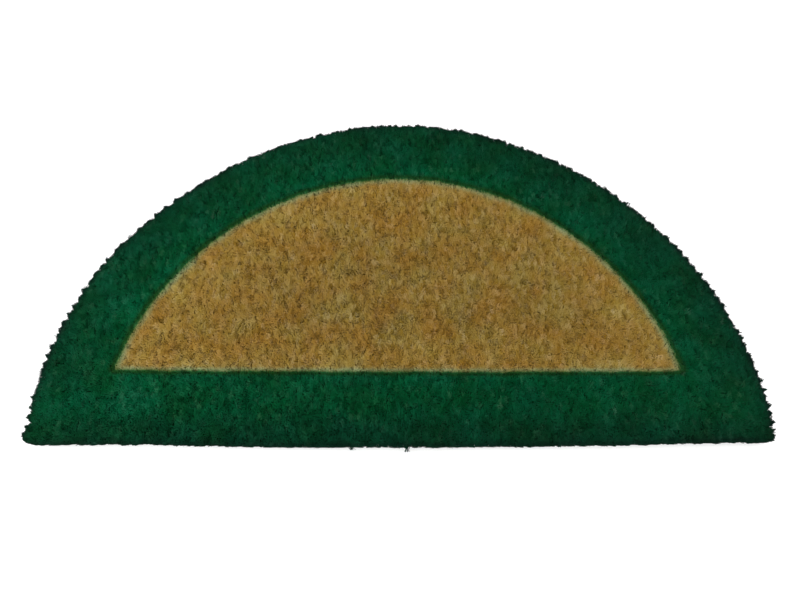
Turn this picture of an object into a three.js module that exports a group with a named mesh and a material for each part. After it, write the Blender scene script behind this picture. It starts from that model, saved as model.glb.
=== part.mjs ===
// Half-round coir doormat: one flat, thick brush mat with a green border round a natural field.
// Millimetres, +Z up. X runs along the straight edge and +Y from that edge to the crown of the
// arc. The origin is on the floor, under the middle of the mat's bounding box.
import * as THREE from "three";

// Plan, measured from the middle of the straight edge
const RADIUS = 375; // a half circle, 750 wide and 375 deep
const CORNER_RADIUS = 10; // where the arc meets the straight edge
const BORDER = 74; // green band, the same width all round

// How far the knife ran outside the true half circle: along the arc by degrees from the right-hand
// corner, and along the straight edge, which is bowed, by distance from its middle
const ARC_CUT = [
  { degrees: 0, out: 0.2 },
  { degrees: 25, out: 0.8 },
  { degrees: 48, out: -1.5 },
  { degrees: 66, out: -1.7 },
  { degrees: 86, out: 0.9 },
  { degrees: 110, out: -1.6 },
  { degrees: 130, out: -2.2 },
  { degrees: 151, out: 2.6 },
  { degrees: 165, out: 0.8 },
  { degrees: 180, out: -2.0 },
];
const EDGE_CUT = [
  { x: -RADIUS, out: -0.8 },
  { x: -300, out: -0.5 },
  { x: -80, out: 2.5 },
  { x: 100, out: 2.3 },
  { x: 200, out: 1.5 },
  { x: 300, out: -1.0 },
  { x: RADIUS, out: -3.2 },
];
const EDGE_RIPPLE = 0.4;
const EDGE_STATIONS = 26;
const CORNER_STATIONS = 4;

// The brush rows run parallel to the straight edge, so the arc cuts through their ends
const ROW_PITCH = 11;
const CLUMP_LONGEST = 22; // near the crown a row lies along the arc and breaks into clumps
const CLUMP_LENGTH_UNEVENNESS = 0.2; // as a share of a clump's length
const CLUMP_BULGE = 1.3; // how far a clump stands out of the cut line
const CLUMP_BULGE_UNEVENNESS = 0.7; // as a share of its bulge
const CLUMP_OUTLINE = [
  { share: 0, bulges: -1 }, // the gap before it
  { share: 0.34, bulges: 1 },
  { share: 0.7, bulges: 0.75 },
];

// Section through the rim. Each ring follows the outline, so far inside it and so high.
const THICKNESS = 18; // floor to the tips of the pile
const RIM_RINGS = [
  { inset: 2.2, height: 0.0 }, // the flat back
  { inset: 1.0, height: 5.0 },
  { inset: 0.0, height: 11.0 }, // the outer tufts lean outwards, and this is their widest
  { inset: 0.5, height: 15.0 },
  { inset: 2.0, height: 17.3 },
  { inset: 6.0, height: 18.0 },
];
const CLUMP_FADE = 6; // the clumps stand out half as far on a ring this far inside the outline
const TOP_INSETS = [22, 46, BORDER - 1, BORDER + 1, 130];
const TOP_CENTRE = new THREE.Vector2(0, RADIUS / 2); // the point furthest inside the outline

// Slow hollows in the pile's top, which cross so that no two places are alike
const HOLLOW_DEPTH = 0.5;
const HOLLOW_LENGTHS = { across: 61, deep: 43, slanting: 29 };

const DYED_GREEN = new THREE.Color("#0b3d24");
const NATURAL_COIR = new THREE.Color("#846c36");
const SEED = 7;

// Numbers from 0 to 1, the same ones on each run.
function makeRandom(seed) {
  let state = seed;
  return () => {
    state = (state + 0x6d2b79f5) | 0;
    let mixed = Math.imul(state ^ (state >>> 15), 1 | state);
    mixed = (mixed + Math.imul(mixed ^ (mixed >>> 7), 61 | mixed)) ^ mixed;
    return ((mixed ^ (mixed >>> 14)) >>> 0) / 4294967296;
  };
}

const random = makeRandom(SEED);

function unevenly(share) {
  return 1 + share * (2 * random() - 1);
}

// The value in a table's column named of, eased from row to row by the column named by.
function readTable(table, by, at, of) {
  const above = Math.max(1, table.findIndex((row) => row[by] >= at));
  const low = table[above - 1];
  const high = table[above];
  return THREE.MathUtils.lerp(low[of], high[of], THREE.MathUtils.smoothstep(at, low[by], high[by]));
}

// The half circle drawn in by inset, with round corners: the arc's radius, the straight edge's
// distance from the arc's centre, the middle of the right-hand corner and where its arc ends.
function halfRound(inset) {
  const radius = RADIUS - inset;
  const cornerY = inset + CORNER_RADIUS;
  const cornerX = Math.sqrt((radius - CORNER_RADIUS) ** 2 - cornerY ** 2);
  return { radius, edgeY: inset, cornerX, cornerY, cornerAngle: Math.atan2(cornerY, cornerX) };
}

// Fractions of the arc's length at which one clump of bristles ends and the next begins.
function clumpEnds() {
  const start = halfRound(0).cornerAngle;
  const end = Math.PI - start;
  const angles = [start];
  while (angles.at(-1) < end) {
    const angle = angles.at(-1);
    const length = Math.min(ROW_PITCH / Math.abs(Math.cos(angle)), CLUMP_LONGEST);
    angles.push(angle + (length * unevenly(CLUMP_LENGTH_UNEVENNESS)) / RADIUS);
  }
  const last = angles.at(-1);
  return angles.map((angle) => (angle - start) / (last - start));
}

// The stations along the arc, clump by clump.
function arcStations() {
  const ends = clumpEnds();
  const stations = [];
  for (let i = 0; i + 1 < ends.length; i += 1) {
    const bulge = CLUMP_BULGE * unevenly(CLUMP_BULGE_UNEVENNESS);
    for (const { share, bulges } of CLUMP_OUTLINE) {
      const along = THREE.MathUtils.lerp(ends[i], ends[i + 1], share);
      const cut = readTable(ARC_CUT, "degrees", 180 * along, "out");
      stations.push({ side: "arc", along, out: cut + bulges * bulge });
    }
  }
  return stations;
}

// The stations along the straight edge, which follows one brush row, so it has no clumps.
function edgeStations() {
  const stations = [];
  for (let i = 1; i < EDGE_STATIONS; i += 1) {
    const along = i / EDGE_STATIONS;
    const cut = readTable(EDGE_CUT, "x", RADIUS * (2 * along - 1), "out");
    stations.push({ side: "edge", along, out: cut + EDGE_RIPPLE * (2 * random() - 1) });
  }
  return stations;
}

function cornerStations(side) {
  const stations = [];
  for (let i = 0; i < CORNER_STATIONS; i += 1) {
    stations.push({ side, along: (i + 0.5) / CORNER_STATIONS, out: 0 });
  }
  return stations;
}

// All the way round, anticlockwise seen from above.
const STATIONS = [
  ...cornerStations("rightCorner"),
  ...arcStations(),
  ...cornerStations("leftCorner"),
  ...edgeStations(),
];

// A station's place in the plan on the outline drawn in by inset.
function planPoint(station, inset) {
  const { radius, edgeY, cornerX, cornerY, cornerAngle } = halfRound(inset);
  const out = station.out / (1 + inset / CLUMP_FADE);
  const { side, along } = station;
  if (side === "edge") {
    return new THREE.Vector2(cornerX * (2 * along - 1), edgeY - out);
  }
  if (side === "arc") {
    const angle = cornerAngle + along * (Math.PI - 2 * cornerAngle);
    return new THREE.Vector2(Math.cos(angle), Math.sin(angle)).multiplyScalar(radius + out);
  }
  const onRight = side === "rightCorner";
  const start = onRight ? -Math.PI / 2 : Math.PI - cornerAngle;
  const angle = start + along * (Math.PI / 2 + cornerAngle);
  const middle = new THREE.Vector2(onRight ? cornerX : -cornerX, cornerY);
  return middle.addScaledVector(new THREE.Vector2(Math.cos(angle), Math.sin(angle)), CORNER_RADIUS);
}

// The height of the pile's tips, from HOLLOW_DEPTH below THICKNESS up to it.
function topHeight({ x, y }) {
  const { across, deep, slanting } = HOLLOW_LENGTHS;
  const wave = Math.cos(x / across) * Math.sin(y / deep) + Math.sin((x - y) / slanting);
  return THICKNESS - (HOLLOW_DEPTH * (2 + wave)) / 4;
}

// The rings from the flat back, up round the rim and in over the top, each a list of points.
function makeRings() {
  const rim = RIM_RINGS.map(({ inset, height }) =>
    STATIONS.map((station) => ({ plan: planPoint(station, inset), height, inset })),
  );
  const top = TOP_INSETS.map((inset) =>
    STATIONS.map((station) => {
      const plan = planPoint(station, inset);
      return { plan, height: topHeight(plan), inset };
    }),
  );
  return [...rim, ...top];
}

function colourAt(inset) {
  return inset < BORDER ? DYED_GREEN : NATURAL_COIR;
}

// One closed body: bands of triangles from ring to ring, a flat back and a fan at the middle.
function makeMatGeometry() {
  const rings = makeRings();
  const count = STATIONS.length;
  const positions = [];
  const colours = [];
  for (const { plan, height, inset } of rings.flat()) {
    positions.push(plan.x, plan.y, height);
    colours.push(...colourAt(inset).toArray());
  }
  const centre = positions.length / 3;
  positions.push(TOP_CENTRE.x, TOP_CENTRE.y, topHeight(TOP_CENTRE));
  colours.push(...NATURAL_COIR.toArray());

  const indices = [];
  for (let ring = 0; ring + 1 < rings.length; ring += 1) {
    for (let i = 0; i < count; i += 1) {
      const here = ring * count + i;
      const next = ring * count + ((i + 1) % count);
      indices.push(here, next, next + count);
      indices.push(here, next + count, here + count);
    }
  }
  const lastRing = (rings.length - 1) * count;
  for (let i = 0; i < count; i += 1) {
    indices.push(lastRing + i, lastRing + ((i + 1) % count), centre);
  }
  const back = rings[0].map(({ plan }) => plan);
  for (const [a, b, c] of THREE.ShapeUtils.triangulateShape(back, [])) {
    indices.push(a, c, b); // facing down
  }

  const geometry = new THREE.BufferGeometry();
  geometry.setAttribute("position", new THREE.Float32BufferAttribute(positions, 3));
  geometry.setAttribute("color", new THREE.Float32BufferAttribute(colours, 3));
  geometry.setIndex(indices);
  geometry.computeVertexNormals();
  geometry.computeBoundingBox();
  return geometry;
}

function makeMat() {
  const geometry = makeMatGeometry();
  const material = new THREE.MeshStandardMaterial({ vertexColors: true, roughness: 0.95, metalness: 0 });
  const mat = new THREE.Mesh(geometry, material);
  mat.name = "coir_mat";
  const middle = geometry.boundingBox.getCenter(new THREE.Vector3());
  mat.position.set(-middle.x, -middle.y, 0);
  return mat;
}

const doormat = new THREE.Group();
doormat.add(makeMat());

export default doormat;
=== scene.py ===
# %% [markdown]
# # A half-round coir doormat
#
# Coir is the coarse fibre of the coconut husk. In a brush mat it is gripped in rows by a woven
# ground and then cut level, so the top is the ends of a great many stiff bristles. This mat is
# cut to a half circle. Its pile is dyed dark green in a border all round and keeps its natural
# golden brown inside it.
#
# Lengths are in millimetres and turn to metres where a mesh is made. X runs along the straight
# edge, Y from there to the crown of the arc, and Z up.

import bpy
import numpy as np
from mathutils import Matrix, Vector


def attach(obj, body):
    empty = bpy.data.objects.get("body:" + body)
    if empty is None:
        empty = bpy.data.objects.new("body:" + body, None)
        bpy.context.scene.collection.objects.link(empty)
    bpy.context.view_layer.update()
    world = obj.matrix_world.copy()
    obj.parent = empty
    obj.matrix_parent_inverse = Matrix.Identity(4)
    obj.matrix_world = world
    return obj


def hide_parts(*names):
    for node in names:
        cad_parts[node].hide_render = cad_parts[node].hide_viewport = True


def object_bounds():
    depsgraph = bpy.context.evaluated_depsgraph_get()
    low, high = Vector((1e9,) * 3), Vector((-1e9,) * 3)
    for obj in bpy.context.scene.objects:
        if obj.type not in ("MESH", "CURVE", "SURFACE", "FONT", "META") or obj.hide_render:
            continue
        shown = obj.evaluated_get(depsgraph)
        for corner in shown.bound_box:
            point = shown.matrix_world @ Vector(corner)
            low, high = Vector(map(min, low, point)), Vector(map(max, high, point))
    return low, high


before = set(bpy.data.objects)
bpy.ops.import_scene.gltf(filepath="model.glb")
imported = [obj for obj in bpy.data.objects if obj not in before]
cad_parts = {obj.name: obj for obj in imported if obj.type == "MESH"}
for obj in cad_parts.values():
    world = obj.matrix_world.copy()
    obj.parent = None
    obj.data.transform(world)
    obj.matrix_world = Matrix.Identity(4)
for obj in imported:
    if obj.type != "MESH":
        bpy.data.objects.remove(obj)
cad_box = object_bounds()
MM = 0.001
LOW, HIGH = (np.array(corner) / MM for corner in cad_box)
print("the solid's box in mm:", LOW.round(1), HIGH.round(1))

# %% [markdown]
# ## The camera
#
# The photo looks steeply down on the mat from the side of its straight edge. The camera's height,
# distance and lens are those that lay a half circle of this size over the one in the picture.

# %% Camera
SENSOR_WIDTH = 36.0
LENS = 29.34
VIEW = dict(elevation=69.34, azimuth=-2.09, roll=2.03, distance=713.7)
VIEW_AIM = np.array([-1.7, -28.1, 0.0])


def camera_matrix(elevation, azimuth, roll, distance, aim):
    """The matrix of a camera that looks at aim. Back leads from aim to the camera, at the
    elevation and the azimuth. Right is level and square to it, up is square to both, and both
    are then turned about it by the roll."""
    high, round_z, turn = np.radians([elevation, azimuth, roll])
    back = np.array([np.sin(round_z) * np.cos(high), -np.cos(round_z) * np.cos(high), np.sin(high)])
    right = np.cross([0, 0, 1], back)
    right /= np.linalg.norm(right)
    up = np.cross(back, right)
    matrix = np.eye(4)
    matrix[:3, 0] = np.cos(turn) * right + np.sin(turn) * up
    matrix[:3, 1] = -np.sin(turn) * right + np.cos(turn) * up
    matrix[:3, 2] = back
    matrix[:3, 3] = (aim + back * distance) * MM
    return Matrix(matrix.tolist())


def make_object(name, data):
    """An object in the scene that holds this camera, lamp or mesh."""
    made = bpy.data.objects.new(name, data)
    bpy.context.scene.collection.objects.link(made)
    return made


def make_camera():
    """A camera with the photo's lens, placed as VIEW says."""
    lens = bpy.data.cameras.new("camera")
    lens.sensor_width = SENSOR_WIDTH
    lens.lens = LENS
    camera = make_object("camera", lens)
    camera.matrix_world = camera_matrix(**VIEW, aim=VIEW_AIM)
    bpy.context.scene.camera = camera
    return camera


camera = make_camera()
print("camera at", [round(x, 3) for x in camera.matrix_world.translation], "m")

# %% [markdown]
# ## Floor and light
#
# A product picture on white is lit a little past white, so that the floor loses its shadows. An
# even white sky does most of it. One large, soft lamp at the left gives the bristles a lit and a
# shaded side. The Standard view keeps white white, where the default one would grey it.

# %% Colours and nodes


def linear(hex_colour):
    """An sRGB hex colour as linear red, green, blue and alpha: c / 12.92 below 0.04045, and
    ((c + 0.055) / 1.055) to the power 2.4 above it. Alpha is a fourth pair of digits, or 1."""
    value = hex_colour.lstrip("#") + "ff"
    srgb = np.array([int(value[i : i + 2], 16) for i in (0, 2, 4)]) / 255
    light = np.where(srgb <= 0.04045, srgb / 12.92, ((srgb + 0.055) / 1.055) ** 2.4)
    return (*light.tolist(), int(value[6:8], 16) / 255)


def feed(node, inputs):
    """Gives a node's sockets, by name or number, a value or what feeds them, which is an output,
    or a node for the first of its outputs in use."""
    for socket, value in inputs.items():
        if isinstance(value, bpy.types.Node):
            value = next(output for output in value.outputs if output.enabled)
        if isinstance(value, bpy.types.NodeSocket):
            node.id_data.links.new(value, node.inputs[socket])
        else:
            node.inputs[socket].default_value = value


def add_node(tree, kind, inputs=(), stops=(), **settings):
    """Adds a node. kind is its type without the ShaderNode in front, settings are its own
    properties, and stops are a ramp's pairs of place and hex colour. The two colours that a Mix
    node mixes are its inputs 6 and 7."""
    node = tree.nodes.new("ShaderNode" + kind)
    for name, value in settings.items():
        setattr(node, name, value)
    feed(node, dict(inputs))
    for i, (place, colour) in enumerate(stops):
        stop = node.color_ramp.elements[i] if i < 2 else node.color_ramp.elements.new(place)
        stop.position = place
        stop.color = linear(colour)
    return node


print("the light of mid grey, #808080, is", round(linear("#808080")[0], 3))

# %% Finishes
FLOOR_GLOW = 0.2
TINTED = {"data_type": "RGBA"}  # a Mix node for colours
TIMES = {"data_type": "RGBA", "blend_type": "MULTIPLY"}  # one that multiplies them


def start_finish(name, sockets):
    """A new material, its node tree, and its shader with these sockets set."""
    material = bpy.data.materials.new(name)
    material.use_nodes = True
    shader = material.node_tree.nodes["Principled BSDF"]
    feed(shader, sockets)
    return material, material.node_tree, shader


# White paper, matt, with a faint glow of its own that keeps it white beside the mat.
glow = {"Base Color": linear("#fafafa"), "Roughness": 0.9, "Emission Strength": FLOOR_GLOW}
paper = start_finish("white_paper_floor", glow)[0]
print("made", paper.name)

# %% Floor, sky and lamp
FLOOR_SIZE = 6000
LAMP_SIZE = 1500
LAMP_PLACE = Vector((-800, -600, 1400)) * MM
LAMP_WATTS = 11
SKY_STRENGTH = 1.12


def make_floor():
    """A wide square of that paper."""
    half = FLOOR_SIZE / 2 * MM
    corners = [(-half, -half, 0), (half, -half, 0), (half, half, 0), (-half, half, 0)]
    mesh = bpy.data.meshes.new("floor")
    mesh.from_pydata(corners, [], [(0, 1, 2, 3)])
    mesh.materials.append(paper)
    floor = make_object("floor", mesh)
    return floor


def make_light():
    """An even white sky, and one square lamp that faces the mat."""
    scene = bpy.context.scene
    scene.view_settings.view_transform = "Standard"
    scene.world = bpy.data.worlds.new("studio")
    scene.world.use_nodes = True
    sky = scene.world.node_tree.nodes["Background"]
    sky.inputs["Color"].default_value = linear("#ffffff")
    sky.inputs["Strength"].default_value = SKY_STRENGTH
    lamp = bpy.data.lights.new("soft_lamp", "AREA")
    lamp.energy = LAMP_WATTS
    lamp.size = LAMP_SIZE * MM
    holder = make_object("soft_lamp", lamp)
    holder.location = LAMP_PLACE
    holder.rotation_euler = LAMP_PLACE.to_track_quat("Z", "Y").to_euler()
    return holder


floor, lamp = make_floor(), make_light()
print("made the", floor.name, "and the", lamp.name)

# %% [markdown]
# ## The plan
#
# Everything on a mat follows from two distances in the plan: how far a place lies inside the
# cut edge, and how far outside the brown field. The cut edge is read off the solid, whose
# widest ring of points is the rim. A circle through the arc's points gives the arc's centre.

# %% Read the rim off the solid
MIDDLE = np.array([0.0, -30.0])
ARC_START = 25.0
SAME_LEVEL = 0.1


def widest_ring(node):
    """The plan points of the solid's widest level, which is the level of its right-hand end, in
    order anticlockwise round the mat's middle."""
    points = np.empty(len(node.data.vertices) * 3, np.float32)
    node.data.vertices.foreach_get("co", points)
    points = points.reshape(-1, 3).astype(float) / MM
    level = points[points[:, 0].argmax(), 2]
    ring = np.unique(points[np.abs(points[:, 2] - level) < SAME_LEVEL, :2].round(3), axis=0)
    x, y = (ring - MIDDLE).T
    return ring[np.argsort(np.arctan2(y, x))]


def fit_circle(points):
    """The centre's y and the radius of a circle centred on x = 0: x^2 + y^2 is 2 y0 y plus a
    constant, which is a straight line to fit."""
    slope, constant = np.polyfit(points[:, 1], (points**2).sum(1), 1)
    return slope / 2, np.sqrt(constant + (slope / 2) ** 2)


ring = widest_ring(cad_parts["coir_mat"])
ARC_Y, RADIUS = fit_circle(ring[ring[:, 1] > LOW[1] + ARC_START])
print("arc's centre y", round(ARC_Y, 1), "radius", round(RADIUS, 1), "from", len(ring), "points")

# %% [markdown]
# The solid's arc is scalloped, as it stands for the ends of the brush rows. Here the bristles
# make those ends themselves, sharper than a solid can, so the arc is smoothed first.

# %% Smooth the arc
DEGREE_STEP = 0.25
SMOOTHED_DEGREES = 5.0


def smooth_arc(points):
    """The arc's points, each as far from the arc's centre as the mean of those within a few
    degrees. The change fades in over the first stretch above the corners."""
    x, y = points[:, 0], points[:, 1] - ARC_Y
    degrees, radius = np.degrees(np.arctan2(y, x)), np.hypot(x, y)
    order = np.argsort(degrees)
    even = np.interp(np.arange(0, 180, DEGREE_STEP), degrees[order], radius[order])
    half = int(SMOOTHED_DEGREES / DEGREE_STEP / 2)
    weights = np.full(2 * half + 1, 1 / (2 * half + 1))
    mean = np.convolve(np.pad(even, half, mode="edge"), weights, "valid")
    smooth = np.interp(degrees, np.arange(0, 180, DEGREE_STEP), mean)
    fade = ((points[:, 1] - LOW[1]) / ARC_START - 1).clip(0, 1)
    scale = 1 + fade * (smooth / radius - 1)
    return np.stack([x * scale, ARC_Y + y * scale], 1)


scalloped = ring
ring = smooth_arc(ring)
print("smoothing moved the rim by up to", np.hypot(*(ring - scalloped).T).max().round(1), "mm")

# %% [markdown]
# The distance to the rim is wanted for many thousands of bristles, so it is worked out once, on
# a grid of places, and looked up from there. The way up that map leads inwards from the rim.

# %% A map of the distance to the rim
MAP_STEP = 2.0
MAP_MARGIN = 14.0
PLACES_AT_ONCE = 1000  # more would take up too much memory
map_x = np.arange(LOW[0] - MAP_MARGIN, HIGH[0] + MAP_MARGIN, MAP_STEP)
map_y = np.arange(LOW[1] - MAP_MARGIN, HIGH[1] + MAP_MARGIN, MAP_STEP)


def inside_outline(places, corners):
    """How far each place lies inside a closed outline, below zero outside it. A side's nearest
    point is the place's shadow on it, kept between its ends. A place is inside where a line from
    it to the right crosses an odd number of sides."""
    side = np.roll(corners, -1, axis=0) - corners
    away = places[:, None] - corners
    share = ((away * side).sum(-1) / (side**2).sum(-1)).clip(0, 1)
    distance = np.linalg.norm(away - share[..., None] * side, axis=-1).min(1)
    spans = (away[..., 1] >= 0) != (away[..., 1] >= side[:, 1])
    turn = away[..., 0] * side[:, 1] - away[..., 1] * side[:, 0]
    crossings = (spans & ((turn < 0) == (side[:, 1] > 0))).sum(1)
    return np.where(crossings % 2 == 1, distance, -distance)


map_places = np.stack(np.meshgrid(map_x, map_y), -1).reshape(-1, 2)
map_shares = np.array_split(map_places, len(map_places) // PLACES_AT_ONCE)
rim_map = np.concatenate([inside_outline(share, ring) for share in map_shares])
rim_map = rim_map.reshape(len(map_y), len(map_x))
slope_y, slope_x = np.gradient(rim_map, MAP_STEP)
print("the place furthest inside the rim is", rim_map.max().round(1), "mm in")

# %% Look up the distances


def look_up(table, places):
    """A map's value at places between its points: the mean of the four round each place, the
    nearer ones counting for more."""
    column = ((places[:, 0] - map_x[0]) / MAP_STEP).clip(0, len(map_x) - 1.001)
    row = ((places[:, 1] - map_y[0]) / MAP_STEP).clip(0, len(map_y) - 1.001)
    i, j = row.astype(int), column.astype(int)
    up, right = row - i, column - j
    low = table[i, j] * (1 - right) + table[i, j + 1] * right
    high = table[i + 1, j] * (1 - right) + table[i + 1, j + 1] * right
    return low * (1 - up) + high * up


def from_rim(places):
    """How far inside the smooth rim each place lies."""
    return look_up(rim_map, places)


def inward(places):
    """The direction that leads away from the nearest part of the rim."""
    slope = np.stack([look_up(slope_x, places), look_up(slope_y, places)], 1)
    return slope / np.linalg.norm(slope, axis=1, keepdims=True).clip(1e-6)


print("the middle is", from_rim(MIDDLE[None])[0].round(1), "mm inside the rim")

# %% [markdown]
# The rows run parallel to the straight edge. Along the flanks the knife cut across them, and
# their ends stand out as nubs. Along the crown and the straight edge it followed one row.

# %% Ends of the rows
ROW_PITCH = 9.0
ROW_COUNT = 44
ROW_REACH = 4.8
ROW_END_WIDTH = 0.3  # as a share of the pitch
ROW_END_MEAN = 0.5
ROW_SIZES, ROW_SHIFT = (0.4, 1.2), 0.2  # as shares of the reach and of the pitch
NUB_DEPTH = 6.0
EDGE_ZONE = 20.0
CORNER_WEAR, CORNER_SPAN = 2.4, 12.0
row_random = np.random.default_rng(5)
row_sizes = row_random.uniform(*ROW_SIZES, (ROW_COUNT, 2))
row_shifts = row_random.uniform(-ROW_SHIFT, ROW_SHIFT, (ROW_COUNT, 2))


def across_rows(places):
    """How squarely the rim near a place cuts across the rows: the square of x over the distance
    from the arc's centre, fading to nothing along the straight edge."""
    x, height = places[:, 0], (places[:, 1] - ARC_Y).clip(0)
    return (height / EDGE_ZONE).clip(0, 1) * (x / np.hypot(x, height).clip(1)) ** 2


def row_ends(places):
    """How far the rows' ends reach past the smooth rim: exp(-(p / width)^2), where p is the
    distance from a row's middle in pitches, less ROW_END_MEAN, so that between two ends it is
    below zero. Each row has a size and a shift of its own at its left and its right end."""
    row = (places[:, 1] - ARC_Y) / ROW_PITCH
    which = row.astype(int).clip(0, ROW_COUNT - 1), (places[:, 0] > 0).astype(int)
    from_middle = row - which[0] - 0.5 + row_shifts[which]
    nub = np.exp(-((from_middle / ROW_END_WIDTH) ** 2)) - ROW_END_MEAN
    return ROW_REACH * row_sizes[which] * across_rows(places) * nub


def corner_wear(places):
    """How far the pile has worn back at the two corners: exp(-(d / span)^2), where d is the
    distance from the sharp corner that the arc and the straight edge would make."""
    d = np.hypot(np.abs(places[:, 0]) - RADIUS, places[:, 1] - ARC_Y)
    return CORNER_WEAR * np.exp(-((d / CORNER_SPAN) ** 2))


def from_edge(places):
    """How far inside the cut edge a place lies, nubs and all. The nubs fade inwards as
    e^(-d / NUB_DEPTH), where d is the distance inside the smooth rim."""
    inside = from_rim(places)
    return inside + row_ends(places) * np.exp(-inside.clip(0) / NUB_DEPTH) - corner_wear(places)


flank = np.column_stack([np.full(200, -RADIUS), np.linspace(ARC_Y, ARC_Y + 100, 200)])
reaches = row_ends(flank)
print("the rows' ends reach from", reaches.min().round(1), "to", reaches.max().round(1), "mm")

# %% [markdown]
# The field is a smaller half circle. It sits 3 mm to the left of the middle, and its straight
# side is bowed by a millimetre or two, as the mat is marked out and dyed by hand. A slow ripple
# keeps the line from looking ruled. Along the straight side the dye crept less than along the
# arc, so distances from that side are stretched, which narrows the seam there.

# %% Distance from the field
ARC_BORDER, STRAIGHT_BORDER = 74.1, 75.0
STRAIGHT_STRETCH = 1.45
FIELD_SHIFT, FIELD_RISE = -3.0, 1.0
FIELD_BOW, FIELD_TILT = 1.1, -0.7
FIELD_HALF_WIDTH = 270.0
FIELD_CORNER = 2.0
CORNER_TRIM = 1.2
SLOW_RIPPLE, SLOW_X, SLOW_Y = 0.4, 23.0, 31.0
QUICK_RIPPLE, QUICK_XY = 0.3, 9.0


def from_field(places):
    """How far each place lies outside the field, below zero inside it: the larger of its
    distance past the field's arc, a, and its depth below the field's straight side, b. It is
    taken as k ln(e^(a / k) + e^(b / k)), which blunts the corner where the two are alike. Past
    the corner, where both are above zero, the lesser one is added too, times CORNER_TRIM, so
    that lines of equal distance turn round its point and don't run on in a spike."""
    x, y = places.T
    past_arc = np.hypot(x - FIELD_SHIFT, y - ARC_Y - FIELD_RISE) - (RADIUS - ARC_BORDER)
    share = x / FIELD_HALF_WIDTH
    below = ARC_Y + STRAIGHT_BORDER + FIELD_BOW * share**2 + FIELD_TILT * share - y
    below = below * STRAIGHT_STRETCH
    slow = SLOW_RIPPLE * np.sin(x / SLOW_X + 1) * np.sin(y / SLOW_Y)
    ripple = slow + QUICK_RIPPLE * np.sin((x + y) / QUICK_XY)
    blunted = FIELD_CORNER * np.logaddexp(past_arc / FIELD_CORNER, below / FIELD_CORNER)
    return blunted + CORNER_TRIM * np.minimum(past_arc, below).clip(0) + ripple


crown = np.array([[0.0, HIGH[1]]])
print("the border is", from_field(crown)[0].round(1), "mm wide at the crown")

# %% [markdown]
# ## Meshes from arrays
#
# Two hundred thousand bristles are far too many to make one by one. Their corners are worked out
# as whole arrays, and one call hands each array to the mesh. Each piece also brings its own
# flat map, on which a colour can be painted for every face.

# %% Array to mesh


def make_piece(name, corners, faces, values, face_map, finish):
    """A mesh object from arrays: corners in millimetres, triangles as rows of three corner
    numbers, a value per corner for each name in values, and a map place per face corner. The
    finish is a material and the slot that it belongs to; the slot is not used."""
    material, slot = finish
    mesh = bpy.data.meshes.new(name)
    mesh.vertices.add(len(corners))
    mesh.vertices.foreach_set("co", (corners * MM).astype(np.float32).ravel())
    mesh.loops.add(faces.size)
    mesh.loops.foreach_set("vertex_index", faces.astype(np.int32).ravel())
    mesh.polygons.add(len(faces))
    mesh.polygons.foreach_set("loop_start", np.arange(0, faces.size, 3, dtype=np.int32))
    mesh.update(calc_edges=True)
    mesh.shade_smooth()
    for value_name, value in values.items():
        layer = mesh.attributes.new(value_name, "FLOAT", "POINT")
        layer.data.foreach_set("value", value.astype(np.float32))
    layer = mesh.uv_layers.new(name="OFBake")
    layer.uv.foreach_set("vector", face_map.astype(np.float32).ravel())
    mesh.materials.append(material)
    piece = make_object(name, mesh)
    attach(piece, "root")
    print(name, "has", len(faces), "triangles")
    return piece


# %% [markdown]
# ## The ground
#
# Under the pile lies the ground that grips it. From above it only closes the gaps between the
# bristles, and its bound edge, which is a little thicker, those under the outermost ones. It is
# a closed tube that has been squashed flat: its rings run from the middle of the back out to the
# binding, round it, and in again over the top.

# %% Closed tubes
STRIP_FILLED = 0.95  # how much of its strip of the map a tube fills


def tube(rings):
    """The faces of closed tubes, and the map places of their corners. rings is an array of tubes,
    rings, sides and xyz. Each ring is joined to the next all the way round, and a fan closes the
    first and the last. A map place is how far along its tube, and how far round, a corner is,
    from 0 to 1, and the tubes lie side by side on the map."""
    tubes, count, sides = rings.shape[:3]
    number = np.arange(tubes * count * sides).reshape(tubes, count, sides)
    beside = np.roll(number, -1, axis=2)
    a, b, c, d = number[:, :-1], beside[:, :-1], beside[:, 1:], number[:, 1:]
    walls = np.stack([a, b, c, a, c, d], -1).reshape(-1, 3)
    first, last = number[:, 0], number[:, -1]
    hub = np.ones_like(last[:, 1:-1])
    start = np.stack([first[:, :1] * hub, first[:, 2:], first[:, 1:-1]], -1).reshape(-1, 3)
    end = np.stack([last[:, :1] * hub, last[:, 1:-1], last[:, 2:]], -1).reshape(-1, 3)

    which, along, side = np.indices((tubes, count - 1, sides))
    near, far = along / (count - 1), (along + 1) / (count - 1)
    low = (which + STRIP_FILLED * side / sides) / tubes
    high = (which + STRIP_FILLED * (side + 1) / sides) / tubes
    places = [(near, low), (near, high), (far, high), (near, low), (far, high), (far, low)]
    wall_map = np.stack([np.stack(place, -1) for place in places], -2).reshape(-1, 2)
    caps = np.concatenate([start, end]).ravel()
    cap_tube, cap_ring, cap_side = np.unravel_index(caps, (tubes, count, sides))
    cap_round = (cap_tube + STRIP_FILLED * cap_side / sides) / tubes
    cap_map = np.stack([cap_ring / (count - 1), cap_round], 1)
    return np.concatenate([walls, start, end]), np.concatenate([wall_map, cap_map])


# %% Ground finish
FLECK_SIZE, FLECK_STRENGTH = 3.0, 0.5
# the dyed ground's green is darkened with painted shade, for where it shows between the rim tufts
NATURAL_GROUND, DYED_SHADED_GROUND = "#a58747", "#083c23"
DYE_FROM, DYE_TO = -4.0, 0.0  # millimetres past the line, from the natural side to the green


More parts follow.
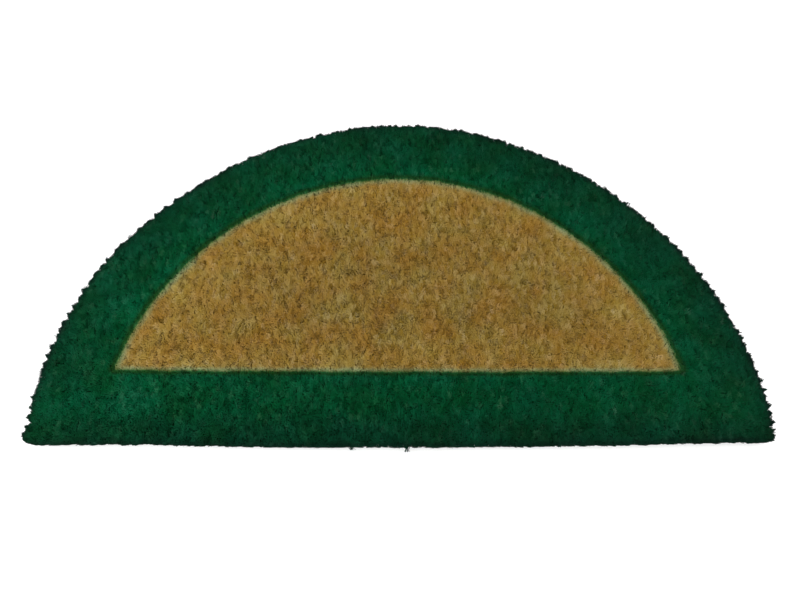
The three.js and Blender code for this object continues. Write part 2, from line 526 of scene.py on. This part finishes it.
def ground_material():
    """The woven ground: coir yarn dulled by dust, and stained green where the border is dyed."""
    dull = {"Roughness": 0.95, "Specular IOR Level": 0.05}
    material, tree, shader = start_finish("woven_coir_ground", dull)
    place = add_node(tree, "TexCoord").outputs["Object"]
    flecks = {"Vector": place, "Scale": 1 / (FLECK_SIZE * MM), "Detail": 3.0}
    fleck = add_node(tree, "TexNoise", flecks)
    past = add_node(tree, "Attribute", attribute_name="dye").outputs["Fac"]
    share = add_node(tree, "MapRange", {"Value": past, "From Min": DYE_FROM, "From Max": DYE_TO})
    colours = {"Factor": share, 6: linear(NATURAL_GROUND), 7: linear(DYED_SHADED_GROUND)}
    dyed = add_node(tree, "Mix", colours, **TINTED)
    flecked = add_node(tree, "Mix", {"Factor": FLECK_STRENGTH, 6: dyed, 7: fleck}, **TIMES)
    feed(shader, {"Base Color": flecked})
    return material


ground_finish = ground_material(), "natural_coir"
print("made", ground_finish[0].name)

# %% Ground body
STATIONS = 360
GROUND_TOP = 11.0
GROUND_BACK = 2.4
BACK_RINGS, TOP_RINGS = 5, 16
GROUND_INSET = 4.4
BINDING_WIDTH, BINDING_LOW, BINDING_ROUND = 5.0, 0.6, 0.8
HUB = 0.01  # the innermost rings, as a share of the way out from the middle
rim_sides = np.roll(ring, -1, axis=0) - ring
rim_length = np.concatenate([[0], np.cumsum(np.hypot(*rim_sides.T))])


def rim_at(lengths):
    """The places at these distances along the rim, anticlockwise seen from above."""
    loop = np.vstack([ring, ring[:1]])
    return np.stack([np.interp(lengths, rim_length, loop[:, axis]) for axis in (0, 1)], 1)


def make_ground():
    """Each ring is the rim, drawn in by its inset, then drawn towards the middle by its share."""
    rim = rim_at(np.linspace(0, rim_length[-1], STATIONS, endpoint=False))
    inner = GROUND_INSET + BINDING_WIDTH
    back = [(share, inner, GROUND_BACK) for share in np.linspace(HUB, 1, BACK_RINGS)]
    binding = [
        (1, inner - BINDING_ROUND, BINDING_LOW),
        (1, GROUND_INSET + BINDING_ROUND, BINDING_LOW),
        (1, GROUND_INSET, BINDING_LOW + BINDING_ROUND),
    ]
    top = [(share, GROUND_INSET, GROUND_TOP) for share in np.linspace(1, HUB, TOP_RINGS)]
    share, inset, height = np.array(back + binding + top).T[..., None, None]
    plan = MIDDLE + (rim + inward(rim) * inset - MIDDLE) * share
    level = np.broadcast_to(height, (*plan.shape[:2], 1))
    rings = np.concatenate([plan, level], -1)[None]
    faces, face_map = tube(rings)
    corners = rings.reshape(-1, 3)
    values = {"dye": from_field(corners[:, :2])}
    return make_piece("woven_ground", corners, faces, values, face_map, ground_finish)


ground = make_ground()
print("rim length", rim_length[-1].round(), "mm")

# %% [markdown]
# ## The woven back
#
# The back is what one sees when the mat is lifted: two thick wefts of coir yarn for each row of
# pile, and thinner warps that cross them, over one and under the next. Cords carried along waves
# show that as it is, where a flat back with a pattern would look like print. No photo shows this
# side, so it follows the usual weave of such mats.

# %% Cord finish
TWIST_PITCH = 12.0
QUARTER_TURN = 0.25
FIBRES_ROUND = 14.0
FIBRE_LENGTH = 9.0
FURROW_WIDTH, FURROW_SHADE = 0.12, 0.25
YARN_RELIEF, FIBRE_SHARE = 0.4, 0.6
YARN_TONES = [(0.3, "#664b25"), (0.45, "#8d7040"), (0.6, "#ac9158"), (0.75, "#c9b27c")]


def cord_material():
    """Two-ply coir yarn, dull. A point's turn is how far round the cord it lies plus how far the
    twist has carried the plies there. The two plies meet in a furrow each half turn, and the
    fibres are streaks that follow the same slant."""
    dull = {"Roughness": 0.9, "Specular IOR Level": 0.15}
    material, tree, shader = start_finish("twisted_coir_yarn", dull)
    along = add_node(tree, "Attribute", attribute_name="along").outputs["Fac"]
    side = add_node(tree, "Attribute", attribute_name="round_cord").outputs["Fac"]
    carried = {0: along, 1: 1 / TWIST_PITCH, 2: side}
    turn = add_node(tree, "Math", carried, operation="MULTIPLY_ADD")
    plies = add_node(tree, "Math", {0: turn, 1: QUARTER_TURN}, operation="PINGPONG")
    deep = {"Value": plies, "From Max": FURROW_WIDTH, "To Min": FURROW_SHADE}
    furrow = add_node(tree, "MapRange", deep, interpolation_type="SMOOTHSTEP")
    length = add_node(tree, "Math", {0: along, 1: 1 / FIBRE_LENGTH}, operation="MULTIPLY")
    count = add_node(tree, "Math", {0: turn, 1: FIBRES_ROUND}, operation="MULTIPLY")
    place = add_node(tree, "CombineXYZ", {0: count, 1: length})
    fibres = add_node(tree, "TexNoise", {"Vector": place, "Scale": 1.0, "Detail": 3.0})
    colour = add_node(tree, "ValToRGB", {"Fac": fibres}, YARN_TONES)
    shaded = add_node(tree, "Mix", {"Factor": 1.0, 6: colour, 7: furrow}, **TIMES)
    heights = {0: fibres, 1: FIBRE_SHARE, 2: furrow}
    height = add_node(tree, "Math", heights, operation="MULTIPLY_ADD")
    bump = add_node(tree, "Bump", {"Height": height, "Distance": YARN_RELIEF * MM})
    feed(shader, {"Base Color": shaded, "Normal": bump})
    return material


yarn = cord_material(), "natural_coir"
print("made", yarn[0].name)

# %% Cords
WEFT_PITCH = ROW_PITCH / 2
WARP_PITCH, WARPS = 25.0, 14  # so many warps on each side of the middle one
WEFT_SIZE, WARP_SIZE = (2.6, 1.4), (1.3, 1.0)  # half the width and half the height
WEFT_WAVE, WARP_WAVE = 0.8, 1.3
WEFT_STEPS, WARP_STEPS = 91, 101
CORD_INSET = 12.5
NEXT_TWIST = 37.0  # how much further on in its twist each cord starts than the one before


def carry_cords(name, middles, across, size, sides):
    """Cords round rows of middle points. A ring's places are half the width times the cosine of
    their angle, across the cord, and half the height times the sine, upwards, from the top on."""
    angle = np.pi / 2 + 2 * np.pi * np.arange(sides) / sides
    sideways = np.outer(size[0] * np.cos(angle), across)
    rings = middles[:, :, None] + sideways + np.outer(size[1] * np.sin(angle), [0, 0, 1])
    faces, face_map = tube(rings)
    step = np.linalg.norm(np.diff(middles, axis=1, prepend=middles[:, :1]), axis=-1)
    length = np.cumsum(step, axis=1) + NEXT_TWIST * np.arange(len(middles))[:, None]
    along = np.broadcast_to(length[..., None], rings.shape[:3])
    round_cord = np.broadcast_to(np.arange(sides) / sides, rings.shape[:3])
    values = {"along": along.ravel(), "round_cord": round_cord.ravel()}
    return make_piece(name, rings.reshape(-1, 3), faces, values, face_map, yarn)


def make_wefts():
    """Cords along X. A weft's height is a cosine of x that turns over from one weft to the next."""
    y = np.arange(ARC_Y + CORD_INSET, ARC_Y + RADIUS - 1.5 * CORD_INSET, WEFT_PITCH)[:, None]
    half = np.sqrt((RADIUS - CORD_INSET) ** 2 - (y - ARC_Y) ** 2)
    x = half * np.linspace(-1, 1, WEFT_STEPS)
    weft = np.arange(len(y))[:, None]
    z = GROUND_BACK + WEFT_WAVE * np.cos(np.pi * (x / WARP_PITCH + weft))
    middles = np.stack([x, np.broadcast_to(y, x.shape), z], -1)
    return carry_cords("back_wefts", middles, [0, 1, 0], WEFT_SIZE, sides=6)


def make_warps():
    """Cords along Y, between the wefts: low where the weft they cross is high."""
    x = WARP_PITCH * np.arange(-WARPS, WARPS + 1)[:, None]
    y_end = ARC_Y + np.sqrt((RADIUS - CORD_INSET) ** 2 - x**2)
    y_start = ARC_Y + CORD_INSET
    y = y_start + (y_end - y_start) * np.linspace(0, 1, WARP_STEPS)
    warp = x / WARP_PITCH
    z = GROUND_BACK - WARP_WAVE * np.cos(np.pi * ((y - y_start) / WEFT_PITCH + warp))
    middles = np.stack([np.broadcast_to(x, y.shape), y, z], -1)
    return carry_cords("back_warps", middles, [-1, 0, 0], WARP_SIZE, sides=4)


back = [make_wefts(), make_warps()]

# %% [markdown]
# ## One bristle
#
# A coir fibre is a quarter of a millimetre thick, which is too fine to show. So a bristle here
# is a little bunch of fibres that cling together, a little over a millimetre across. Four
# corners make the smallest closed shape: a short edge at the root and another at the tip,
# crosswise, like a chisel. Its tip is blunt, as a cut fibre's is.

# %% Bristles from roots and tips
CHISEL = np.array([[0, 1, 2], [1, 0, 3], [2, 3, 0], [3, 2, 1]])
CROSSWISE = 0.5  # radians, either way, that a tip may stray from square to its root
SQUARE_FILLED = 0.36  # half the part of its square on the map that a bristle fills
random = np.random.default_rng(11)


def chisels(roots, tips, root_width, tip_width):
    """Closed bristles, four corners each: the root less and plus half its width in a random
    direction, and the tip less and plus half its width about a quarter turn further on."""
    turn = random.uniform(0, 2 * np.pi, len(roots))
    quarter = turn + np.pi / 2 + random.uniform(-CROSSWISE, CROSSWISE, len(roots))
    along, across = (np.stack([np.cos(t), np.sin(t), np.zeros_like(t)], 1) for t in (turn, quarter))
    root_half = along * (random.uniform(*root_width, len(roots)) / 2)[:, None]
    tip_half = across * (random.uniform(*tip_width, len(roots)) / 2)[:, None]
    corners = np.stack([roots - root_half, roots + root_half, tips - tip_half, tips + tip_half], 1)
    starts = 4 * np.arange(len(roots))
    return corners.reshape(-1, 3), (starts[:, None, None] + CHISEL).reshape(-1, 3)


def chisel_map(count):
    """A place on the map for each corner of each bristle's faces: a square of its own, with the
    root at one side and the tip at the other."""
    across = int(np.ceil(np.sqrt(count)))
    order = np.arange(count)
    middles = (np.stack([order % across, order // across], 1) + 0.5) / across
    corners = np.array([[-1, -1], [1, -1], [-1, 1], [1, 1]]) * (SQUARE_FILLED / across)
    return (middles[:, None] + corners[CHISEL.ravel()]).reshape(-1, 2)


print("triangles to a bristle:", len(CHISEL))

# %% [markdown]
# ## Tufts
#
# Fibres lean with their neighbours, a few millimetres of them at a time, which is what gives
# coir its look of short strokes. So each bristle belongs to a tuft, and its lean, its height,
# its tone and its other random amounts are part the tuft's and part its own.

# %% Tufts
TUFT_SIZE = np.array([3.4, 5.6])
TUFT_RAGGED = 0.2  # as a share of the tuft's size
SPARE_TUFTS = 4  # past each side of the mat's box
TUFT_COLUMNS, TUFT_ROWS = ((HIGH - LOW)[:2] // TUFT_SIZE + 2 * SPARE_TUFTS).astype(int)


def tuft_of(places):
    """The number of the tuft that each place is in. Tufts are oblongs, with edges too ragged to
    show as such."""
    ragged = places + random.normal(0, TUFT_RAGGED, places.shape) * TUFT_SIZE
    column, row = ((ragged - LOW[:2]) // TUFT_SIZE + SPARE_TUFTS).astype(int).T
    return row.clip(0, TUFT_ROWS - 1) * TUFT_COLUMNS + column.clip(0, TUFT_COLUMNS - 1)


def shared(tuft, of_tuft, of_own, size=1):
    """Random amounts, normally spread: one for the tuft plus one for the bristle itself."""
    tufts = random.normal(0, 1, (TUFT_COLUMNS * TUFT_ROWS, size)) * of_tuft
    return tufts[tuft] + random.normal(0, 1, (len(tuft), size)) * of_own


print("there is room for", TUFT_COLUMNS, "by", TUFT_ROWS, "tufts")

# %% [markdown]
# ## Where the bristles stand
#
# The tips are spread evenly and a little at random, about one for each square millimetre. Whole
# tufts reach a little past the cut edge or stop short of it, which makes it ragged. The straight
# edge follows one row, and is much cleaner.

# %% Tips
TIP_SPACING = 1.05
OUTERMOST = -3.0
EDGE_TRIM, TUFT_TRIM, OWN_TRIM = 1.1, 1.4, 0.5
LEAST_TRIM, MOST_TRIM = -1.5, 2.2
STRAIGHT_RAGGEDNESS = 0.4
tuft_trim = random.normal(0, TUFT_TRIM, TUFT_COLUMNS * TUFT_ROWS).clip(LEAST_TRIM, MOST_TRIM)


def eased(places, at_edge):
    """A share that rises from at_edge along the straight edge to 1 on the arc."""
    return at_edge + (1 - at_edge) * ((places[:, 1] - ARC_Y) / EDGE_ZONE).clip(0, 1)


def raggedness(places, tuft):
    """How far each bristle stops short of the cut edge, below zero where it reaches past it:
    EDGE_TRIM plus its tuft's trim and its own, and less of all three along the straight edge."""
    own = random.normal(0, OWN_TRIM, len(places))
    return (EDGE_TRIM + tuft_trim[tuft] + own) * eased(places, STRAIGHT_RAGGEDNESS)


def scatter(spacing):
    """Places on a square grid over the mat's box, each moved by up to half the spacing, and kept
    where they lie inside the ragged edge, with the tuft of each."""
    columns = np.arange(LOW[0] + OUTERMOST, HIGH[0] - OUTERMOST, spacing)
    rows = np.arange(LOW[1] + OUTERMOST, HIGH[1] - OUTERMOST, spacing)
    places = np.stack(np.meshgrid(columns, rows), -1).reshape(-1, 2)
    places += random.uniform(-0.5, 0.5, places.shape) * spacing
    places = places[from_rim(places) > OUTERMOST]
    tuft = tuft_of(places)
    kept = from_edge(places) > raggedness(places, tuft)
    return places[kept], tuft[kept]


tips_plan, tuft = scatter(TIP_SPACING)
print(len(tips_plan), "bristles in", len(np.unique(tuft)), "tufts")

# %% [markdown]
# Within a few millimetres of the rim the tips splay outwards and are worn down to a round
# shoulder. A few tufts in the border took less dye and stay pale.

# %% Lean, height and tone of each bristle
PILE_TOP = HIGH[2]
TUFT_LEAN, OWN_LEAN = np.array([1.3, 2.2]), np.array([0.6, 0.9])
TUFT_TONE, OWN_TONE = 0.17, 0.03
TUFT_DIP, OWN_DIP = 0.25, 0.12
SHOULDER, SHOULDER_DROP, SPLAY = 5.0, 1.6, 1.5
ROOT_MARGIN = 4.6
PALE_SHARE = 0.002
MOST_TONE = 0.85


def make_roots_and_tips():
    """A tip stands at its place, the dip and the worn shoulder's drop below the pile's top. Its
    root is the lean away from it, but is kept ROOT_MARGIN inside the rim."""
    inset = from_rim(tips_plan)
    near_rim = (1 - inset / SHOULDER).clip(0, 1)
    lean = shared(tuft, TUFT_LEAN, OWN_LEAN, 2) - inward(tips_plan) * (SPLAY * near_rim)[:, None]
    dip = np.abs(shared(tuft, TUFT_DIP, OWN_DIP)[:, 0]) + SHOULDER_DROP * near_rim**2
    roots_plan = tips_plan - lean
    too_near = (ROOT_MARGIN - from_rim(roots_plan)).clip(0, 2 * ROOT_MARGIN)
    roots_plan += inward(roots_plan) * too_near[:, None]
    roots = np.column_stack([roots_plan, np.full(len(dip), GROUND_TOP)])
    return roots, np.column_stack([tips_plan, PILE_TOP - dip])


def make_tones():
    """A tone from 0, dark, to MOST_TONE for each bristle, and 1 for the pale tufts."""
    tone = (0.5 + shared(tuft, TUFT_TONE, OWN_TONE)[:, 0]).clip(0, MOST_TONE)
    pale = random.uniform(0, 1, TUFT_COLUMNS * TUFT_ROWS)[tuft] < PALE_SHARE
    return np.where(pale, 1.0, tone)


roots, tips = make_roots_and_tips()
tone = make_tones()
mean_lean = np.hypot(*(tips - roots)[:, :2].T).mean()
print("mean lean", mean_lean.round(2), "mm over a height of", (tips - roots)[:, 2].mean().round(2))

# %% [markdown]
# ## Finish: natural and dyed coir
#
# Coir is a dull, hard fibre, so it is rough with hardly a sheen. No two fibres have quite the
# same colour: a tone per bristle picks one from dark to light, and slow patches drift across the
# pile. The dye was put on from above, so a bristle that crosses the line has both colours. Along
# that line the dye has crept and thinned: it leaves a pale, greyish seam on the natural side. On
# the green side a dark, dull band is partly the dye's dense edge and partly painted shade.

# %% Colours of the pile
NATURAL_TONES = [(0.0, "#ac8e32"), (0.25, "#b59840"), (0.5, "#bea350")]
NATURAL_TONES += [(0.75, "#c7ae66"), (1.0, "#d1ba7e")]
GREEN_TONES = [(0.0, "#005a36"), (0.25, "#025f3a"), (0.5, "#076540")]
GREEN_TONES += [(0.75, "#176c49"), (0.9, "#2b7552"), (1.0, "#3d8364")]
DRIFT_SIZE = 34.0
NATURAL_DRIFT, GREEN_DRIFT = 0.15, 0.42


def add_patches(tree):
    """Slow patches in the pile, as two numbers from 0 to 1 that drift apart from each other."""
    place = add_node(tree, "TexCoord").outputs["Object"]
    drift = {"Vector": place, "Scale": 1 / (DRIFT_SIZE * MM), "Detail": 3.0}
    patches = add_node(tree, "TexNoise", drift).outputs["Color"]
    return add_node(tree, "SeparateColor", {0: patches}).outputs[:2]


def add_tones(tree, tone, tones, patches, drift):
    """The colour that a fibre's tone picks, times from 1 - drift to 1 + drift by the patches."""
    picked = add_node(tree, "ValToRGB", {"Fac": tone}, tones)
    swing = {"Value": patches, "To Min": 1 - drift, "To Max": 1 + drift}
    strength = add_node(tree, "MapRange", swing)
    return add_node(tree, "Mix", {"Factor": 1.0, 6: picked, 7: strength}, **TIMES)


print("the pile has", len(NATURAL_TONES), "natural and", len(GREEN_TONES), "green tones")

# %% The dye and its seam
SEAM_FROM, SEAM_TO = -14.0, 8.0
# pale tints on the natural side; on the green, a dark band, partly the dye's dense edge and partly
# painted shade
SEAM_TINTS_AND_SHADE = [(-14.0, "#b8ac7000"), (-8.5, "#a4a46a30"), (-5.2, "#a2bb9478")]
SEAM_TINTS_AND_SHADE += [(-3.0, "#86b68e94"), (-1.2, "#6c9a5e60"), (0.4, "#305a1a80")]
SEAM_TINTS_AND_SHADE += [(2.6, "#233f00a4"), (4.8, "#233f0040"), (8.0, "#233f0000")]
WARM, WARM_FROM, WARM_TO = "#ffe8cc", 0.35, 0.65


def add_dye(tree, tone):
    """Natural coir where the place past the line is below DYE_FROM, green where it is above
    DYE_TO, a mix between them, and over it the seam's tints, as strong as their alpha; on the
    green side they are partly painted shade. Last, slow patches turn it a little warmer."""
    patches, warm_patches = add_patches(tree)
    natural = add_tones(tree, tone, NATURAL_TONES, patches, NATURAL_DRIFT)
    green = add_tones(tree, tone, GREEN_TONES, patches, GREEN_DRIFT)
    past = add_node(tree, "Attribute", attribute_name="dye").outputs["Fac"]
    line = {"Value": past, "From Min": DYE_FROM, "From Max": DYE_TO}
    share = add_node(tree, "MapRange", line, interpolation_type="SMOOTHSTEP")
    dyed = add_node(tree, "Mix", {"Factor": share, 6: natural, 7: green}, **TINTED)
    along = add_node(tree, "MapRange", {"Value": past, "From Min": SEAM_FROM, "From Max": SEAM_TO})
    stops = [((mm - SEAM_FROM) / (SEAM_TO - SEAM_FROM), tint) for mm, tint in SEAM_TINTS_AND_SHADE]
    seam = add_node(tree, "ValToRGB", {"Fac": along}, stops)
    colours = {"Factor": seam.outputs["Alpha"], 6: dyed, 7: seam}
    tinted = add_node(tree, "Mix", colours, **TINTED)
    swing = {"Value": warm_patches, "From Min": WARM_FROM, "From Max": WARM_TO}
    warm = add_node(tree, "MapRange", swing)
    return add_node(tree, "Mix", {"Factor": warm, 6: tinted, 7: linear(WARM)}, **TIMES)


print("the seam's tints span", SEAM_TO - SEAM_FROM, "mm")

# %% [markdown]
# A bristle stands for a few fibres side by side. Streaks along it, darker and lighter, higher
# and lower, draw them, each about a third of a millimetre wide.

# %% Pile finish
FIBRES_ACROSS = 2.0
FIBRE_RELIEF, FIBRE_CONTRAST = 0.08, 0.12
NOISE_LOW, NOISE_HIGH = 0.3, 0.7  # most of a noise lies between these
TONE_STRIDE = 900.0
ROUGH_DARK, ROUGH_PALE = 0.9, 0.65
# the grey that painted shade adds to the pile as it darkens it
SHADE_GREY = "#120018"


def add_fibres(tree, tone):
    """A noise across the bristle, from -1 at one side to 1 at the other. Its tone, which few
    others share, moves it to a part of its own of the noise."""
    across = add_node(tree, "Attribute", attribute_name="across").outputs["Fac"]
    moved = add_node(tree, "Math", {0: tone, 1: TONE_STRIDE}, operation="MULTIPLY")
    place = add_node(tree, "CombineXYZ", {0: across, 1: moved})
    return add_node(tree, "TexNoise", {"Vector": place, "Scale": FIBRES_ACROSS, "Detail": 1.0})


def pile_material(name, specular):
    """Cut coir pile, matt, in both colours, as a bristle near the line has some of each. The
    dyed fibre has lost what little sheen the natural one has. Where painted shade darkens it, it
    is greyed too: a little red and blue are added as the light attribute falls."""
    material, tree, shader = start_finish(name, {"Specular IOR Level": specular})
    tone = add_node(tree, "Attribute", attribute_name="tone").outputs["Fac"]
    fibres = add_fibres(tree, tone)
    swing = {"Value": fibres, "From Min": NOISE_LOW, "From Max": NOISE_HIGH}
    swing |= {"To Min": 1 - FIBRE_CONTRAST, "To Max": 1 + FIBRE_CONTRAST}
    streaks = add_node(tree, "MapRange", swing)
    light = add_node(tree, "Attribute", attribute_name="light").outputs["Fac"]
    shade = add_node(tree, "Math", {0: light, 1: streaks}, operation="MULTIPLY")
    shaded = add_node(tree, "Mix", {"Factor": 1.0, 6: add_dye(tree, tone), 7: shade}, **TIMES)
    # painted shade greys the colour as the light attribute falls
    shade_greying = add_node(tree, "MapRange", {"Value": light, "From Min": 1.0, "From Max": 0.0})
    colours = {"Factor": shade_greying, 6: shaded, 7: linear(SHADE_GREY)}
    shade_greyed = add_node(tree, "Mix", colours, data_type="RGBA", blend_type="ADD")
    rough = add_node(tree, "MapRange", {"Value": tone, "To Min": ROUGH_DARK, "To Max": ROUGH_PALE})
    bump = add_node(tree, "Bump", {"Height": fibres, "Distance": FIBRE_RELIEF * MM})
    feed(shader, {"Base Color": shade_greyed, "Roughness": rough, "Normal": bump})
    return material


green_coir = pile_material("coir_dyed_green", 0.06), "green_coir"
natural_coir = pile_material("coir_natural", 0.25), "natural_coir"
print("pile finishes:", green_coir[0].name, natural_coir[0].name)

# %% [markdown]
# ## Setting the pile
#
# Each colour is set in a few pieces from left to right, so that no piece grows too large.
# Bristles are darker at the root, where dust and shade gather. Painted shade darkens the border
# towards the rim. It also darkens a little from left to right. The field is a little paler near
# its edge.

# %% Pile pieces
ROOT_WIDTH, TIP_WIDTH = (1.2, 1.7), (1.1, 1.6)
ROOT_LIGHT = 0.9
# the border's painted shade: its light falls to RIM_LIGHT at the rim
RIM_LIGHT, FIELD_LIGHT = 0.6, 0.86
INNER_LIGHT, INNER_FROM = 0.12, 0.6
STRAIGHT_LIGHT, SIDE_LIGHT = 0.25, 0.1
STRIP_FROM, STRIP_RISE = 18.0, 20.0  # the lighter strip, up from the straight edge
STRIP_SHORT, STRIP_FALL = 4.0, 30.0  # and down again to just short of the field
OUTER_SHADE, SHADE_WIDTH, LEAST_LIGHT = 0.53, 5.2, 0.18
STRAIGHT_SHADE = 0.5
FIELD_DEPTH = 90.0
TUFT_CREEP, OWN_CREEP = 0.45, 0.25
PIECES, BAND = 3, 4.0


def make_bristles(name, corners, faces, own_tone, tip_light, finish):
    """A piece of bristles. Each corner's values are the bristle's tone, its light there, the side
    that the corner is on, and how far past the line it stands, give or take how far the dye crept
    along this tuft and this bristle."""
    creep = shared(tuft_of(corners[2::4, :2]), TUFT_CREEP, OWN_CREEP)[:, 0]
    values = {
        "tone": np.repeat(own_tone, 4),
        "light": np.outer(tip_light, [ROOT_LIGHT, ROOT_LIGHT, 1, 1]).ravel(),
        "across": np.tile([-1.0, 1.0, -1.0, 1.0], len(own_tone)),
        "dye": from_field(corners[:, :2]) + np.repeat(creep, 4),
    }
    return make_piece(name, corners, faces, values, chisel_map(len(own_tone)), finish)


def set_pile(name, chosen, tip_light, finish):
    """One colour's bristles, from left to right in equal shares. Each share is in order band by
    band, from front to back, so that neighbours on the mat are near each other on the map."""
    pieces = []
    chosen = chosen[np.argsort(tips[chosen, 0])]
    for number, share in enumerate(np.array_split(chosen, PIECES), 1):
        share = share[np.lexsort([tips[share, 0], tips[share, 1] // BAND])]
        corners, faces = chisels(roots[share], tips[share], ROOT_WIDTH, TIP_WIDTH)
        bristles = corners, faces, tone[share], tip_light[share]
        pieces.append(make_bristles(f"{name}_{number}", *bristles, finish))
    return pieces


def border_light(places):
    """RIM_LIGHT at the rim to 1 at the field, as painted shade towards the rim, plus INNER_LIGHT
    near the field, less the painted shade of the outermost millimetres, OUTER_SHADE
    e^(-(d / SHADE_WIDTH)^2). A strip along the straight side is brighter, and all of it falls
    off from left to right."""
    inset = from_rim(places)
    inwards = (inset / ARC_BORDER).clip(0, 1)
    shade = OUTER_SHADE * eased(places, STRAIGHT_SHADE) * np.exp(-((inset / SHADE_WIDTH) ** 2))
    inner = INNER_LIGHT * ((inwards - INNER_FROM) / (1 - INNER_FROM)).clip(0)
    light = (RIM_LIGHT + (1 - RIM_LIGHT) * inwards + inner - shade).clip(LEAST_LIGHT)
    height = places[:, 1] - ARC_Y
    rise = ((height - STRIP_FROM) / STRIP_RISE).clip(0, 1)
    fall = ((STRAIGHT_BORDER - STRIP_SHORT - height) / STRIP_FALL).clip(0, 1)
    return light * (1 + STRAIGHT_LIGHT * (rise * fall)) * (1 - SIDE_LIGHT * places[:, 0] / RADIUS)


depth = from_field(tips[:, :2])
is_border = depth > (DYE_FROM + DYE_TO) / 2
field_light = 1 - (1 - FIELD_LIGHT) * (-depth / FIELD_DEPTH).clip(0, 1)
light = np.where(is_border, border_light(tips[:, :2]), field_light)
dyed, undyed = np.flatnonzero(is_border), np.flatnonzero(~is_border)
border_pile = set_pile("border_pile", dyed, light, green_coir)
field_pile = set_pile("field_pile", undyed, light, natural_coir)

# %% [markdown]
# ## The rim
#
# The rim is where the knife went through the pile. The outer fibres have nothing to hold them up
# and splay from the ground's edge out to the cut edge. They make the side that one sees from
# low down, so they stand in three layers, one above the other.

# %% Rim tufts
RIM_COUNT = 12000
RIM_ROOTS = np.array([[3.8, 0.4], [4.2, 3.0], [4.6, 6.5]])  # each layer's inset and height
RIM_TIPS = np.array([[0.5, 12.0], [0.1, 14.5], [0.6, 16.5]])
RIM_UNEVEN, RIM_CLEAR = 0.7, 0.5  # spread of the tips' heights, and least room below the top
RIM_FAN = 1.0
LEAST_SPLAY = 0.5
RIM_WIDTHS = (1.0, 1.5), (0.6, 1.0)
RIM_TONE, RIM_SHADE = 0.42, 0.34


def ways_at_rim(lengths):
    """Places along the rim, with the directions that lead inwards and sideways from each."""
    rim = rim_at(lengths)
    inwards = inward(rim)
    return rim, inwards, np.stack([-inwards[:, 1], inwards[:, 0]], 1)


def make_rim():
    """Bristles in three layers. The two tables say how far inside the rim and how high roots and
    tips are. The row's end takes a tip further out, the corner's wear and the tuft's trim take it
    in, but it stays at least LEAST_SPLAY outside its root."""
    at = (np.arange(RIM_COUNT) + random.uniform(0, 1, RIM_COUNT)) * rim_length[-1] / RIM_COUNT
    rim, inwards, sideways = ways_at_rim(at)
    layer = np.arange(RIM_COUNT) % len(RIM_ROOTS)
    root_inset, root_height = RIM_ROOTS[layer].T
    tip_inset, tip_height = RIM_TIPS[layer].T
    rim_tuft = tuft_of(rim)
    tip_inset = tip_inset - row_ends(rim) + corner_wear(rim) + raggedness(rim, rim_tuft)
    tip_inset = np.minimum(tip_inset, root_inset - LEAST_SPLAY)
    tip_height = tip_height + random.normal(0, RIM_UNEVEN, RIM_COUNT)
    fan = shared(rim_tuft, RIM_FAN, RIM_FAN)
    root_plan = rim + inwards * root_inset[:, None] - sideways * fan
    tip_plan = rim + inwards * tip_inset[:, None]
    root = np.column_stack([root_plan, root_height + random.uniform(0, 1, RIM_COUNT)])
    tip = np.column_stack([tip_plan, tip_height.clip(0, PILE_TOP - RIM_CLEAR)])
    corners, faces = chisels(root, tip, *RIM_WIDTHS)
    own_tone = (RIM_TONE + shared(rim_tuft, TUFT_TONE, OWN_TONE)[:, 0]).clip(0, MOST_TONE)
    light = np.full(RIM_COUNT, RIM_SHADE)
    return make_bristles("rim_tufts", corners, faces, own_tone, light, green_coir)


rim_tufts = make_rim()

# %% [markdown]
# ## Loose tufts
#
# Here and there a whole tuft has worked loose and stands out of the cut edge. Two along the
# straight edge and one on the left flank are easily seen, and a few dozen small ones along the
# arc hardly are.

# %% Loose tufts
LOOSE_TUFTS = [(-50.0, -188.0, 2.2), (4.5, -190.0, 3.8), (-372.0, -114.0, 3.0)]  # x, y and reach
SMALL_COUNT, SMALL_REACH, MOST_REACH = 40, 0.8, 2.5
LOOSE_BRISTLES = 14
LOOSE_INSET = 4.0
ROOT_SPREAD, TIP_SPREAD, REACH_SPREAD = 2.0, 1.7, 0.6
ROOT_HEIGHTS, TIP_HEIGHTS = (7, 12), (9, 15)
LOOSE_TONES = 0.25, 0.6
LOOSE_WIDTHS = (0.9, 1.2), (0.5, 0.8)


def loose_places():
    """How far along the rim each loose tuft stands, and how far it reaches out of it."""
    stations = np.arange(0, rim_length[-1], 0.5)
    places = rim_at(stations)
    seen = np.array(LOOSE_TUFTS)
    nearest = np.hypot(*(places[:, None] - seen[:, :2]).transpose(2, 0, 1)).argmin(0)
    on_arc = stations[places[:, 1] > ARC_Y + EDGE_ZONE]
    at = np.concatenate([stations[nearest], random.choice(on_arc, SMALL_COUNT)])
    small = random.exponential(SMALL_REACH, SMALL_COUNT).clip(0, MOST_REACH)
    return at, np.concatenate([seen[:, 2], small])


def make_loose_tufts():
    """Bristles that fan out of one root, some longer than others, with a ragged tip."""
    at, reach = (np.repeat(values, LOOSE_BRISTLES) for values in loose_places())
    count = len(at)
    rim, inwards, sideways = ways_at_rim(at)
    root_side = random.normal(0, ROOT_SPREAD, (count, 1))
    tip_side = random.normal(0, TIP_SPREAD, (count, 1))
    out = reach - np.abs(random.normal(0, REACH_SPREAD, count))
    root_plan = rim + inwards * LOOSE_INSET + sideways * root_side
    tip_plan = rim - inwards * out[:, None] + sideways * tip_side
    root = np.column_stack([root_plan, random.uniform(*ROOT_HEIGHTS, count)])
    tip = np.column_stack([tip_plan, random.uniform(*TIP_HEIGHTS, count)])
    corners, faces = chisels(root, tip, *LOOSE_WIDTHS)
    own_tone = random.uniform(*LOOSE_TONES, count)
    light = np.full(count, RIM_SHADE)
    return make_bristles("loose_tufts", corners, faces, own_tone, light, green_coir)


loose_tufts = make_loose_tufts()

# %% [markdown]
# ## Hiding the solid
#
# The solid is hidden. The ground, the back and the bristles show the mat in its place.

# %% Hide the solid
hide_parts("coir_mat")
